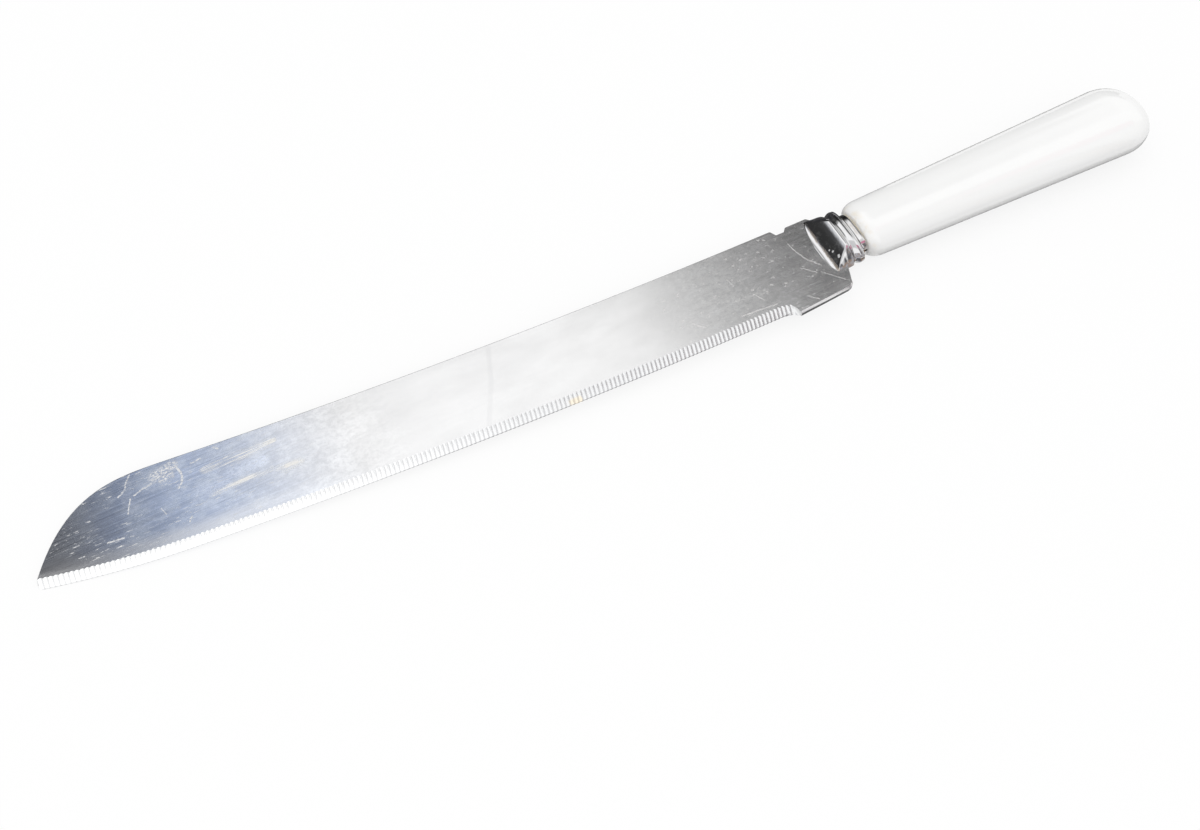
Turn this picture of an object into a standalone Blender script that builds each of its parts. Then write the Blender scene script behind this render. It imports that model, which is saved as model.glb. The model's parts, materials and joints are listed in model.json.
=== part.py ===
"""Cake knife with a fluted edge, a stepped bolster and a moulded handle, lying flat side down on a table.

The knife is modelled straight along X and level, with the bolster's front lip at x = 0, the tip at -X,
the butt at +X, the spine at +Y and the fluted face up. Its parent then lays the whole assembly on the table.
"""

import math

import bmesh
import bpy
from mathutils import Matrix

# Driving dimensions, in metres
BLADE_LENGTH = 0.2172
BLADE_THICKNESS = 0.0014
SPINE_RISE = 0.0107
EDGE_DROP = 0.01465
SWEEP_RADIUS = 2.0
TIP_CURVE_LENGTH = 0.03785
TIP_CURVE_POWER = 3.1
TIP_CORNER_RADIUS = 0.0016
TIP_EDGE_RISE = 0.0028
NOTCH_POSITION = 0.00725
NOTCH_WIDTH = 0.0040
NOTCH_DEPTH = 0.0018
RICASSO_LENGTH = 0.01565
RICASSO_DROP = 0.01585
RICASSO_RISE = 0.00985
RICASSO_TAPER = 0.0006
HEEL_OVERHANG = 0.00145
HEEL_RADIUS = 0.0017
SLOT_DEPTH = 0.0036
FLUTE_PITCH = 0.00118
FLUTE_DEPTH = 0.0002
FLUTE_BAND = 0.0024
RUNOUT_LENGTH = 0.0050
RUNOUT_RADIUS = 0.0140
RUNOUT_WALL = 0.0014
BOLSTER_LENGTH = 0.0091
BOLSTER_WIDTH = 0.0194
BOLSTER_THICKNESS = 0.0080
LIP_WALL = 0.0004
TANG_LENGTH = 0.0585
TANG_WIDTH = 0.0062
TANG_THICKNESS = 0.0026
TANG_END_WIDTH = 0.0048
TANG_END_THICKNESS = 0.0020
COLLAR_LENGTH = 0.0020
COLLAR_WIDTH = 0.0134
COLLAR_THICKNESS = 0.0070
SPIGOT_LENGTH = 0.0060
SPIGOT_WALL = 0.0012
BEDDING_DEPTH = 0.0036
HANDLE_LENGTH = 0.0993
HANDLE_FRONT_WIDTH = 0.0178
HANDLE_BUTT_WIDTH = 0.0230
HANDLE_FRONT_THICKNESS = 0.0114
HANDLE_BUTT_THICKNESS = 0.0132
HANDLE_FULLNESS = 2.15
HANDLE_SHOULDER = 0.0042
HANDLE_MOUTH_SHARE = 0.70
BUTT_DOME = 0.0116

# Clearances
FIT_GAP = 0.0003
JOINT_GAP = 0.0003

# How finely curves are divided
FLUTE_SEGMENTS = 6
TIP_SEGMENTS = 12
CORNER_SEGMENTS = 8
HANDLE_SEGMENTS = 44
PANEL_LENGTH = 0.018
CUTTER_MARGIN = 0.0030

HALF_BLADE = BLADE_THICKNESS / 2
TIP_START = TIP_CURVE_LENGTH - BLADE_LENGTH
COLLAR_FRONT = BOLSTER_LENGTH + JOINT_GAP
HANDLE_FRONT = COLLAR_FRONT + COLLAR_LENGTH + JOINT_GAP
HANDLE_END = HANDLE_FRONT + HANDLE_LENGTH
TANG_END = BOLSTER_LENGTH + TANG_LENGTH
BEDDING_END = TANG_END + BEDDING_DEPTH
SPIGOT_HALF_WIDTH = TANG_WIDTH / 2 + FIT_GAP + SPIGOT_WALL
SPIGOT_HALF_THICKNESS = TANG_THICKNESS / 2 + FIT_GAP + SPIGOT_WALL


def clear_scene():
    for obj in list(bpy.data.objects):
        bpy.data.objects.remove(obj, do_unlink=True)


def new_collection(name):
    collection = bpy.data.collections.new(name)
    bpy.context.scene.collection.children.link(collection)
    return collection


def new_material(name, colour, metallic, roughness):
    material = bpy.data.materials.new(name)
    material.use_nodes = True
    shader = material.node_tree.nodes["Principled BSDF"]
    shader.inputs["Base Color"].default_value = (*colour, 1.0)
    shader.inputs["Metallic"].default_value = metallic
    shader.inputs["Roughness"].default_value = roughness
    return material


def sweep(x):
    """How far the blade has swept up towards the spine side at this distance from the bolster."""
    return SWEEP_RADIUS - math.sqrt(SWEEP_RADIUS**2 - min(x, 0.0) ** 2)


def tip_share(x):
    return min(max((TIP_START - x) / TIP_CURVE_LENGTH, 0.0), 1.0)


def edge_y(x):
    """The cutting edge before the sweep."""
    return TIP_EDGE_RISE * tip_share(x) ** 2 - EDGE_DROP


def spine_y(x):
    """The spine before the sweep, dropping to the edge in one curve at the tip."""
    drop = SPINE_RISE + EDGE_DROP - TIP_EDGE_RISE
    return SPINE_RISE - drop * tip_share(x) ** TIP_CURVE_POWER


def rounded(corners):
    """The outline through (x, y, radius) corners, each corner replaced by an arc of that radius."""
    points = []
    for i, (x, y, radius) in enumerate(corners):
        if radius == 0.0:
            points.append((x, y))
            continue
        before = corners[i - 1]
        after = corners[(i + 1) % len(corners)]
        angle_in = math.atan2(before[1] - y, before[0] - x)
        angle_out = math.atan2(after[1] - y, after[0] - x)
        half = ((angle_out - angle_in + math.pi) % (2 * math.pi) - math.pi) / 2
        middle = angle_in + half
        reach = radius / abs(math.sin(half))
        centre = (x + reach * math.cos(middle), y + reach * math.sin(middle))
        spread = math.copysign(math.pi / 2 - abs(half), half)
        for k in range(CORNER_SEGMENTS + 1):
            angle = middle + math.pi + spread * (1 - 2 * k / CORNER_SEGMENTS)
            points.append((centre[0] + radius * math.cos(angle), centre[1] + radius * math.sin(angle)))
    return points


def blank_outline():
    """The stamped blank, straight, anticlockwise from the tip's edge corner."""
    blank_drop = RICASSO_DROP + RICASSO_TAPER
    notch_front = -NOTCH_POSITION - NOTCH_WIDTH / 2
    notch_back = -NOTCH_POSITION + NOTCH_WIDTH / 2
    notch_floor = SPINE_RISE - NOTCH_DEPTH
    bolster_half = BOLSTER_WIDTH / 2
    tip_y = edge_y(-BLADE_LENGTH)
    corners = [
        (-BLADE_LENGTH, tip_y, TIP_CORNER_RADIUS),
        (-BLADE_LENGTH + TIP_CURVE_LENGTH / 2, -blank_drop, 0.0),
        (-RICASSO_LENGTH, -blank_drop, 0.0),
        (HEEL_OVERHANG, -RICASSO_DROP + RICASSO_TAPER, HEEL_RADIUS),
        (SLOT_DEPTH, -bolster_half + JOINT_GAP, 0.0),
        (SLOT_DEPTH, RICASSO_RISE - SLOT_DEPTH / 2, 0.0005),
        (SLOT_DEPTH / 2, RICASSO_RISE, 0.0008),
        (notch_back + NOTCH_DEPTH / 4, RICASSO_RISE, 0.0002),
        (notch_back - NOTCH_DEPTH / 4, notch_floor, 0.0004),
        (notch_front + NOTCH_DEPTH / 2, notch_floor, 0.0005),
        (notch_front, SPINE_RISE, 0.0007),
    ]
    for k in range(TIP_SEGMENTS):
        x = TIP_START - TIP_CURVE_LENGTH * k / TIP_SEGMENTS
        corners.append((x, spine_y(x), 0.0))
    return rounded(corners)


def grown(points, by):
    """The outline moved outwards by a clearance."""
    moved = []
    for i, (x, y) in enumerate(points):
        ax, ay = points[i - 1]
        bx, by_next = points[(i + 1) % len(points)]
        first = math.atan2(y - ay, x - ax) - math.pi / 2
        second = math.atan2(by_next - y, bx - x) - math.pi / 2
        half = ((second - first + math.pi) % (2 * math.pi) - math.pi) / 2
        reach = by / max(math.cos(half), 0.3)
        moved.append((x + reach * math.cos(first + half), y + reach * math.sin(first + half)))
    return moved


def plate(name, points, half_thickness, collection):
    """A flat outline, filled and extruded both ways, as a mesh object."""
    curve = bpy.data.curves.new(name + "_outline", "CURVE")
    curve.dimensions = "2D"
    curve.fill_mode = "BOTH"
    curve.extrude = half_thickness
    spline = curve.splines.new("POLY")
    spline.points.add(len(points) - 1)
    for point, (x, y) in zip(spline.points, points):
        point.co = (x, y, 0.0, 1.0)
    spline.use_cyclic_u = True
    flat = bpy.data.objects.new(name + "_outline", curve)
    bpy.context.scene.collection.objects.link(flat)
    graph = bpy.context.evaluated_depsgraph_get()
    mesh = bpy.data.meshes.new_from_object(flat.evaluated_get(graph))
    mesh.name = name
    bpy.data.objects.remove(flat, do_unlink=True)
    work = bmesh.new()
    work.from_mesh(mesh)
    bmesh.ops.remove_doubles(work, verts=work.verts[:], dist=1e-7)
    bmesh.ops.dissolve_limit(work, angle_limit=1e-4, verts=work.verts[:], edges=work.edges[:])
    bmesh.ops.recalc_face_normals(work, faces=work.faces[:])
    work.to_mesh(mesh)
    work.free()
    obj = bpy.data.objects.new(name, mesh)
    collection.objects.link(obj)
    return obj


def loft(name, rings, collection):
    """A closed solid through rings of the same number of (x, y, z) points, with flat ends."""
    work = bmesh.new()
    loops = []
    for ring in rings:
        loops.append([work.verts.new(point) for point in ring])
    count = len(loops[0])
    for near, far in zip(loops, loops[1:]):
        for k in range(count):
            after = (k + 1) % count
            work.faces.new((near[k], near[after], far[after], far[k]))
    work.faces.new(loops[0])
    work.faces.new(loops[-1])
    bmesh.ops.recalc_face_normals(work, faces=work.faces[:])
    mesh = bpy.data.meshes.new(name)
    work.to_mesh(mesh)
    work.free()
    obj = bpy.data.objects.new(name, mesh)
    collection.objects.link(obj)
    return obj


def rounded_ring(x, half_width, half_thickness, radius):
    """A rounded rectangle across the knife at x."""
    radius = min(radius, half_width, half_thickness)
    corners = [
        (half_width, half_thickness, radius),
        (-half_width, half_thickness, radius),
        (-half_width, -half_thickness, radius),
        (half_width, -half_thickness, radius),
    ]
    return [(x, y, z) for y, z in rounded(corners)]


def oval_ring(x, half_width, half_thickness):
    """A slightly squared oval across the knife at x, with a facet rather than a ridge at its lowest."""
    ring = []
    for k in range(HANDLE_SEGMENTS):
        angle = 2 * math.pi * (k + 0.5) / HANDLE_SEGMENTS
        c = math.cos(angle)
        s = math.sin(angle)
        y = half_width * math.copysign(abs(c) ** (2 / HANDLE_FULLNESS), c)
        z = half_thickness * math.copysign(abs(s) ** (2 / HANDLE_FULLNESS), s)
        ring.append((x, y, z))
    return ring


def cut(obj, cutter):
    modifier = obj.modifiers.new("cut_" + cutter.name, "BOOLEAN")
    modifier.operation = "DIFFERENCE"
    modifier.solver = "EXACT"
    modifier.object = cutter


def panel_lines(obj):
    """Divides the blank's flats into panels, with one line along the blade above the flutes."""
    work = bmesh.new()
    work.from_mesh(obj.data)
    lines = [((0.0, FLUTE_BAND * 1.5 - EDGE_DROP, 0.0), (0.0, 1.0, 0.0))]
    x = -RICASSO_LENGTH
    while x > -BLADE_LENGTH:
        lines.append(((x, 0.0, 0.0), (1.0, 0.0, 0.0)))
        x -= PANEL_LENGTH
    lines.append(((-JOINT_GAP, 0.0, 0.0), (1.0, 0.0, 0.0)))
    for point, normal in lines:
        geometry = work.verts[:] + work.edges[:] + work.faces[:]
        bmesh.ops.bisect_plane(work, geom=geometry, dist=1e-6, plane_co=point, plane_no=normal)
    work.to_mesh(obj.data)
    work.free()


def sweep_up(obj):
    for vertex in obj.data.vertices:
        vertex.co.y += sweep(vertex.co.x)


def flute_cutter(collection):
    """The ground bevel as one solid: a flute at every pitch, run out of the blade before the ricasso."""
    slope = BLADE_THICKNESS / FLUTE_BAND
    step = FLUTE_PITCH / FLUTE_SEGMENTS
    columns = math.ceil((BLADE_LENGTH + CUTTER_MARGIN - RICASSO_LENGTH) / step)
    blank_edge = EDGE_DROP - RICASSO_DROP - RICASSO_TAPER
    top = HALF_BLADE + BLADE_THICKNESS + CUTTER_MARGIN
    rings = []
    for i in range(columns + 1):
        x = -RICASSO_LENGTH - i * step
        into_runout = max(RUNOUT_LENGTH - i * step, 0.0)
        into_wall = max(RUNOUT_WALL - i * step, 0.0) / RUNOUT_WALL
        lift = RUNOUT_RADIUS - math.sqrt(RUNOUT_RADIUS**2 - into_runout**2)
        hollow = 0.0
        if into_wall == 0.0:
            share = (i % FLUTE_SEGMENTS) / FLUTE_SEGMENTS
            hollow = FLUTE_DEPTH * (1 - (2 * share - 1) ** 2)
        foot = max(-lift / slope, blank_edge)
        head = FLUTE_BAND - lift / slope
        head += (foot - head) * (1 - math.sqrt(1 - into_wall**2)) * 0.98
        reach = head - foot
        y = edge_y(x) + sweep(x)
        rings.append([
            (x, y + foot - reach, -HALF_BLADE - BLADE_THICKNESS - hollow),
            (x, y + head + reach, HALF_BLADE + BLADE_THICKNESS - hollow),
            (x, y + head + reach, top),
            (x, y - CUTTER_MARGIN, top),
        ])
    return loft("flute_grind", rings, collection)


def make_blade(parts, cutters):
    blade = plate("blade", blank_outline(), HALF_BLADE, parts)
    panel_lines(blade)
    sweep_up(blade)
    cut(blade, flute_cutter(cutters))
    return blade


def tang_rings(start, clearance):
    """The tapering tang from x = start to its end, with a clearance all round."""
    taper_start = start - BOLSTER_LENGTH
    rings = []
    for x, share in ((start, taper_start / TANG_LENGTH), (TANG_END, 1.0)):
        half_width = (TANG_WIDTH + (TANG_END_WIDTH - TANG_WIDTH) * share) / 2 + clearance
        half = (TANG_THICKNESS + (TANG_END_THICKNESS - TANG_THICKNESS) * share) / 2 + clearance
        rings.append(rounded_ring(x, half_width, half, half / 2))
    return rings


def tang_cutter(collection):
    rings = tang_rings(BOLSTER_LENGTH - CUTTER_MARGIN, FIT_GAP)
    tip = [(x + FIT_GAP, y, z) for x, y, z in rings[-1]]
    return loft("tang_pocket", [rings[0], tip], collection)


def make_bolster(parts):
    """Lip, ramp, rounded ridge, cove and broad ring, cast in one piece with the tang."""
    wide = BOLSTER_WIDTH / 2
    thick = BOLSTER_THICKNESS / 2
    lip = HALF_BLADE + FIT_GAP + LIP_WALL
    stations = [
        (0.000, 0.955, lip, 0.60),
        (0.030, 0.985, lip * 1.13, 0.60),
        (0.085, 0.995, lip * 1.16, 0.60),
        (0.098, 0.985, lip * 1.08, 0.60),
        (0.112, 0.982, lip * 1.12, 0.60),
        (0.475, 0.875, thick * 0.955, 0.80),
        (0.505, 0.855, thick * 0.990, 0.85),
        (0.535, 0.835, thick * 1.000, 0.88),
        (0.562, 0.815, thick * 0.985, 0.88),
        (0.585, 0.795, thick * 0.930, 0.88),
        (0.608, 0.780, thick * 0.880, 0.90),
        (0.650, 0.775, thick * 0.862, 0.90),
        (0.695, 0.800, thick * 0.880, 0.90),
        (0.728, 0.845, thick * 0.915, 0.90),
        (0.760, 0.862, thick * 0.935, 0.90),
        (0.925, 0.862, thick * 0.945, 0.90),
        (0.968, 0.845, thick * 0.930, 0.90),
        (1.000, 0.810, thick * 0.885, 0.90),
    ]
    rings = []
    for along, across, half, corner in stations:
        rings.append(rounded_ring(along * BOLSTER_LENGTH, across * wide, half, corner * half))
    rings.extend(tang_rings(BOLSTER_LENGTH, 0.0))
    return loft("bolster", rings, parts)


def make_collar(parts):
    """A flanged ferrule: the flange shows between bolster and handle, the spigot plugs the handle's mouth."""
    wide = COLLAR_WIDTH / 2
    thick = COLLAR_THICKNESS / 2
    back = COLLAR_FRONT + COLLAR_LENGTH
    end = back + SPIGOT_LENGTH
    stations = [
        (COLLAR_FRONT, wide * 0.965, thick * 0.945),
        (COLLAR_FRONT + 0.20 * COLLAR_LENGTH, wide, thick),
        (COLLAR_FRONT + 0.70 * COLLAR_LENGTH, wide, thick),
        (COLLAR_FRONT + 0.90 * COLLAR_LENGTH, wide * 0.975, thick * 0.960),
        (back, wide * 0.940, thick * 0.900),
        (back, SPIGOT_HALF_WIDTH, SPIGOT_HALF_THICKNESS),
        (end, SPIGOT_HALF_WIDTH, SPIGOT_HALF_THICKNESS),
    ]
    rings = []
    for x, half_width, half in stations:
        rings.append(rounded_ring(x, half_width, half, 0.9 * half))
    return loft("collar", rings, parts)


def make_cement(parts):
    """The bedding that fills the handle's bore around the tang."""
    front = COLLAR_FRONT + COLLAR_LENGTH + SPIGOT_LENGTH + JOINT_GAP
    rings = []
    for x in (front, BEDDING_END):
        rings.append(rounded_ring(x, SPIGOT_HALF_WIDTH, SPIGOT_HALF_THICKNESS, 0.9 * SPIGOT_HALF_THICKNESS))
    return loft("cement", rings, parts)


def bore_cutter(collection):
    half_width = SPIGOT_HALF_WIDTH + FIT_GAP
    half = SPIGOT_HALF_THICKNESS + FIT_GAP
    rings = []
    for x in (HANDLE_FRONT - CUTTER_MARGIN, BEDDING_END + FIT_GAP):
        rings.append(rounded_ring(x, half_width, half, 0.9 * half))
    return loft("handle_bore", rings, collection)


def make_handle(parts, cutters):
    """An oval grip that widens to a domed butt, bored for the tang."""
    dome_start = HANDLE_END - BUTT_DOME
    shares = []
    for k in range(6):
        turn = k / 5 * math.pi / 2
        share = HANDLE_MOUTH_SHARE + (1 - HANDLE_MOUTH_SHARE) * math.sin(turn)
        shares.append((HANDLE_FRONT + HANDLE_SHOULDER * (1 - math.cos(turn)), share))
    body_start = HANDLE_FRONT + HANDLE_SHOULDER
    for k in range(1, 6):
        shares.append((body_start + (dome_start - body_start) * k / 5, 1.0))
    for k in range(1, 11):
        turn = k / 10 * math.radians(86)
        shares.append((dome_start + BUTT_DOME * math.sin(turn) ** 0.95, math.cos(turn) ** 0.90))
    rings = []
    for x, share in shares:
        along = min((x - HANDLE_FRONT) / (dome_start - HANDLE_FRONT), 1.0)
        half_width = (HANDLE_FRONT_WIDTH + (HANDLE_BUTT_WIDTH - HANDLE_FRONT_WIDTH) * along) / 2
        half = (HANDLE_FRONT_THICKNESS + (HANDLE_BUTT_THICKNESS - HANDLE_FRONT_THICKNESS) * along) / 2
        rings.append(oval_ring(x, half_width * share, half * share))
    handle = loft("handle", rings, parts)
    cut(handle, bore_cutter(cutters))
    return handle


def world_points(objects):
    graph = bpy.context.evaluated_depsgraph_get()
    points = []
    for obj in objects:
        shape = obj.evaluated_get(graph)
        mesh = shape.to_mesh()
        points.extend(shape.matrix_world @ vertex.co for vertex in mesh.vertices)
        shape.to_mesh_clear()
    return points


def lay_on_table(assembly, objects):
    """Tips the knife until its tip and its handle both touch the table, then centres it on the origin."""
    points = world_points(objects)
    tip = min(points, key=lambda p: (round(p.x, 6), p.z))
    grip = [p for p in points if p.x > HANDLE_FRONT]
    tilt = max(math.atan2(tip.z - p.z, p.x - tip.x) for p in grip)
    turn = Matrix.Rotation(-tilt, 4, "Y")
    turned = [turn @ p for p in points]
    low = [min(p[i] for p in turned) for i in range(3)]
    high = [max(p[i] for p in turned) for i in range(3)]
    shift = ((low[0] + high[0]) / -2, (low[1] + high[1]) / -2, -low[2])
    assembly.matrix_world = Matrix.Translation(shift) @ turn


def main():
    clear_scene()
    parts = new_collection("cake_knife")
    cutters = new_collection("cutters")
    assembly = bpy.data.objects.new("knife", None)
    parts.objects.link(assembly)

    blade = make_blade(parts, cutters)
    bolster = make_bolster(parts)
    collar = make_collar(parts)
    handle = make_handle(parts, cutters)
    cement = make_cement(parts)

    cut(bolster, plate("blade_slot", grown(blank_outline(), FIT_GAP), HALF_BLADE + FIT_GAP, cutters))
    pocket = tang_cutter(cutters)
    for piece in (collar, cement):
        cut(piece, pocket)

    steel = new_material("brushed_steel", (0.62, 0.63, 0.65), 1.0, 0.30)
    plating = new_material("chrome_plate", (0.80, 0.80, 0.81), 1.0, 0.08)
    moulding = new_material("white_moulding", (0.88, 0.88, 0.86), 0.0, 0.22)
    bedding = new_material("tang_bedding", (0.55, 0.49, 0.38), 0.0, 0.80)
    blade.data.materials.append(steel)
    bolster.data.materials.append(plating)
    collar.data.materials.append(plating)
    handle.data.materials.append(moulding)
    cement.data.materials.append(bedding)

    for cutter in cutters.objects:
        cutter.hide_render = True
        cutter.display_type = "WIRE"
        cutter.parent = assembly
    pieces = (blade, bolster, collar, handle, cement)
    for piece in pieces:
        piece.parent = assembly
    lay_on_table(assembly, pieces)


main()
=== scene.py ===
"""Looks of the cake knife: a fluted brushed blade, a chromed bolster and collar, a glossy white handle.

Pieces are modelled in the knife's own axes, in metres: the front of the bolster's solid at x = 0, the tip
at -x, the spine at +y and the fluted face up. One matrix, read from the frame, then lays them where the
solids lie.
"""

import json
import math

import bmesh
import bpy
from mathutils import Matrix, Vector


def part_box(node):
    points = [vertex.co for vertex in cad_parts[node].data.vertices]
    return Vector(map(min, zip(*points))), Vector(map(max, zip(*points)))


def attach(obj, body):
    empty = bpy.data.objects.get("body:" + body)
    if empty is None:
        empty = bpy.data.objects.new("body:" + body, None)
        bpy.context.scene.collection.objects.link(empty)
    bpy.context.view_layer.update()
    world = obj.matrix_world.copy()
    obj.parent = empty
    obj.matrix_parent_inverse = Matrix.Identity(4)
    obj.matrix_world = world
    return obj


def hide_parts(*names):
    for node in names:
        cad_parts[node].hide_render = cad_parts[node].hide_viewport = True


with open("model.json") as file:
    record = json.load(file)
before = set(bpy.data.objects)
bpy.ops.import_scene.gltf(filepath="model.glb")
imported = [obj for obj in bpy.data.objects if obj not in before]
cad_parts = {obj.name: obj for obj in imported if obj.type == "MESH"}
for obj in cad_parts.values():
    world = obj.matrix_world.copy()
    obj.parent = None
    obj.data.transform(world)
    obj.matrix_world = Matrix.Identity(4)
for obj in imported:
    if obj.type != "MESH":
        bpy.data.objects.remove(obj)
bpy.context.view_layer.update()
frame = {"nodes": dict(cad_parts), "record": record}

BODY = "root"

# Blade
BLADE_LENGTH = 0.2172
HALF_BLADE = 0.0007
SPINE_RISE = 0.0107
EDGE_DROP = 0.01465
SWEEP_RADIUS = 2.0
TIP_CURVE_LENGTH = 0.03785
TIP_CURVE_POWER = 3.1
TIP_CORNER_RADIUS = 0.0016
TIP_EDGE_RISE = 0.0028
TIP_START = TIP_CURVE_LENGTH - BLADE_LENGTH
NOTCH_POSITION = 0.00725
NOTCH_WIDTH = 0.0040
NOTCH_DEPTH = 0.0018
NOTCH_FRONT_RADIUS = 0.0007
NOTCH_FLOOR_FRONT_RADIUS = 0.0005
NOTCH_FLOOR_BACK_RADIUS = 0.0004
NOTCH_BACK_RADIUS = 0.0002
RICASSO_LENGTH = 0.01565
RICASSO_DROP = 0.01585
RICASSO_RISE = 0.01005
RICASSO_TAPER = 0.0006
RICASSO_BEVEL = 0.00060
HEEL_OVERHANG = 0.00145
HEEL_RADIUS = 0.0024
SLOT_DEPTH = 0.0036
SLOT_CORNER_RADIUS = 0.0008
EDGE_ROUNDING = 0.00014
ROUNDING_MIDDLE = 0.3
FLUTE_PITCH = 0.00118
FLUTE_DEPTH = 0.00036
FLUTE_LAND = 0.00017
FLUTE_BAND = 0.0024
FLUTE_SKEW = 0.00045
FLUTE_UNEVENNESS = 0.12
UNEVEN_FAST = 2.399
UNEVEN_SLOW = 1.117
UNEVEN_START = 0.7
FLUTE_FADE = 0.58
FLUTE_FOOT = 0.35
RUNOUT_LENGTH = 0.0050
RUNOUT_RADIUS = 0.0140
RUNOUT_WALL = 0.0014
RUNOUT_WALL_SHARE = 0.98

# Bolster, collar and handle
BOLSTER_HALF_WIDTH = 0.0097
SPIGOT_HALF_WIDTH = 0.0046
SPIGOT_HALF = 0.0028
SPIGOT_LENGTH = 0.0060
BEDDING_START = 0.0177
BEDDING_END = 0.0712
HANDLE_FRONT = 0.0117
HANDLE_LENGTH = 0.0993
HANDLE_END = HANDLE_FRONT + HANDLE_LENGTH
HANDLE_FRONT_WIDTH = 0.0178
HANDLE_BUTT_WIDTH = 0.0230
HANDLE_FRONT_THICKNESS = 0.0114
HANDLE_BUTT_THICKNESS = 0.0132
HANDLE_FULLNESS = 2.15
HANDLE_SHOULDER = 0.0042
HANDLE_MOUTH_SHARE = 0.70
BORE_CLEARANCE = 1e-4
BUTT_DOME = 0.0116
DOME_TURN = math.radians(89.5)
DOME_LENGTH_POWER = 0.95
DOME_WIDTH_POWER = 0.90

# How finely curves are divided
FLUTE_SEGMENTS = 10
BEVEL_SEGMENTS = 4
TIP_SEGMENTS = 26
CORNER_SEGMENTS = 14
STATION_SEGMENTS = 4
OVAL_SEGMENTS = 96
SHOULDER_SEGMENTS = 14
GRIP_SEGMENTS = 24
DOME_SEGMENTS = 28
NOSE_STEP = 2e-5
RICASSO_STEP = 5e-5
LEAST_STEP = 1e-5

# How meshes are joined, shaded and given materials
WELD_DISTANCE = 2e-6
SHARP_DEGREES = 40
BLADE_SHARP_DEGREES = 18
FLAT_WEIGHT = 80
BEVEL_FIRST_ROW = 7

# Camera, solved from the photograph, in the knife's own axes
VIEW_TURN = math.radians(27.35)
VIEW_ELEVATION = math.radians(60.5)
CAMERA_PLACE = (-0.14934, -0.15811, 0.27677)
IMAGE_WIDTH = 1200
FOCAL_LENGTH_PX = 1252.3
SENSOR_WIDTH = 36.0


def mount_axis(name):
    for mount in frame["record"]["mounts"]:
        if mount["name"] == name:
            return Vector(mount["axis"])
    raise KeyError(name)


def knife_matrix():
    """From the knife's own axes to the frame, in which it leans on its tip and its handle."""
    face_up = mount_axis("blade_front")
    along = Vector((face_up.z, 0.0, -face_up.x))
    across = face_up.cross(along)
    turn = Matrix((along, across, face_up)).transposed()
    low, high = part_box("cement")
    bedding_middle = Vector(((BEDDING_START + BEDDING_END) / 2, 0.0, 0.0))
    return Matrix.Translation((low + high) / 2 - turn @ bedding_middle) @ turn.to_4x4()


KNIFE = knife_matrix()


# Outlines

def rounded(corners, segments):
    """The line through (x, y, radius) corners, each corner with a radius replaced by an arc."""
    points = []
    for i, (x, y, radius) in enumerate(corners):
        if radius == 0.0:
            points.append((x, y))
            continue
        before = corners[i - 1]
        after = corners[(i + 1) % len(corners)]
        angle_in = math.atan2(before[1] - y, before[0] - x)
        angle_out = math.atan2(after[1] - y, after[0] - x)
        half = ((angle_out - angle_in + math.pi) % (2 * math.pi) - math.pi) / 2
        middle = angle_in + half
        reach = radius / abs(math.sin(half))
        centre = (x + reach * math.cos(middle), y + reach * math.sin(middle))
        spread = math.copysign(math.pi / 2 - abs(half), half)
        for k in range(segments + 1):
            angle = middle + math.pi + spread * (1 - 2 * k / segments)
            points.append((centre[0] + radius * math.cos(angle), centre[1] + radius * math.sin(angle)))
    return points


def read_line(points, x):
    """The height of a line of points at x, with the points in order of x."""
    if x <= points[0][0]:
        return points[0][1]
    for (ax, ay), (bx, by) in zip(points, points[1:]):
        if x <= bx:
            share = (x - ax) / (bx - ax) if bx > ax else 1.0
            return ay + (by - ay) * share
    return points[-1][1]


def smooth_stations(stations, segments):
    """Stations (x, values...) with a smooth curve through each value that never overshoots."""
    def slope(a, b, i):
        return (b[i] - a[i]) / (b[0] - a[0])

    def tangent(k, i):
        if k in (0, len(stations) - 1):
            return 0.0
        back = slope(stations[k - 1], stations[k], i)
        ahead = slope(stations[k], stations[k + 1], i)
        if back * ahead <= 0.0:
            return 0.0
        return 2 * back * ahead / (back + ahead)

    smooth = [stations[0]]
    for k, (a, b) in enumerate(zip(stations, stations[1:])):
        width = b[0] - a[0]
        for step in range(1, segments + 1):
            t = step / segments
            row = [a[0] + width * t]
            for i in range(1, len(a)):
                start = (1 + 2 * t) * (1 - t) ** 2 * a[i] + t * (1 - t) ** 2 * width * tangent(k, i)
                end = t * t * (3 - 2 * t) * b[i] + t * t * (t - 1) * width * tangent(k + 1, i)
                row.append(start + end)
            smooth.append(tuple(row))
    return smooth


# Meshes

def add_piece(name, shape, materials, sharp_degrees=SHARP_DEGREES, face_materials=None):
    """A closed piece in the knife's axes, laid in the frame and riding on the part's one body."""
    vertices, faces = shape
    mesh = bpy.data.meshes.new(name)
    mesh.from_pydata(vertices, [], faces)
    for material in materials:
        mesh.materials.append(material)
    if face_materials:
        mesh.polygons.foreach_set("material_index", face_materials)
    work = bmesh.new()
    work.from_mesh(mesh)
    bmesh.ops.remove_doubles(work, verts=work.verts[:], dist=WELD_DISTANCE)
    bmesh.ops.recalc_face_normals(work, faces=work.faces[:])
    work.to_mesh(mesh)
    work.free()
    mesh.shade_smooth()
    mesh.set_sharp_from_angle(angle=math.radians(sharp_degrees))
    piece = bpy.data.objects.new(name, mesh)
    bpy.context.scene.collection.objects.link(piece)
    piece.matrix_world = KNIFE
    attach(piece, BODY)
    return piece


def keep_flats_flat(piece):
    """Lets large faces rule the shading, so that a flat between two roundings mirrors like a flat."""
    weighted = piece.modifiers.new("weighted_normals", "WEIGHTED_NORMAL")
    weighted.mode = "FACE_AREA"
    weighted.weight = FLAT_WEIGHT
    weighted.keep_sharp = True


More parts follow.
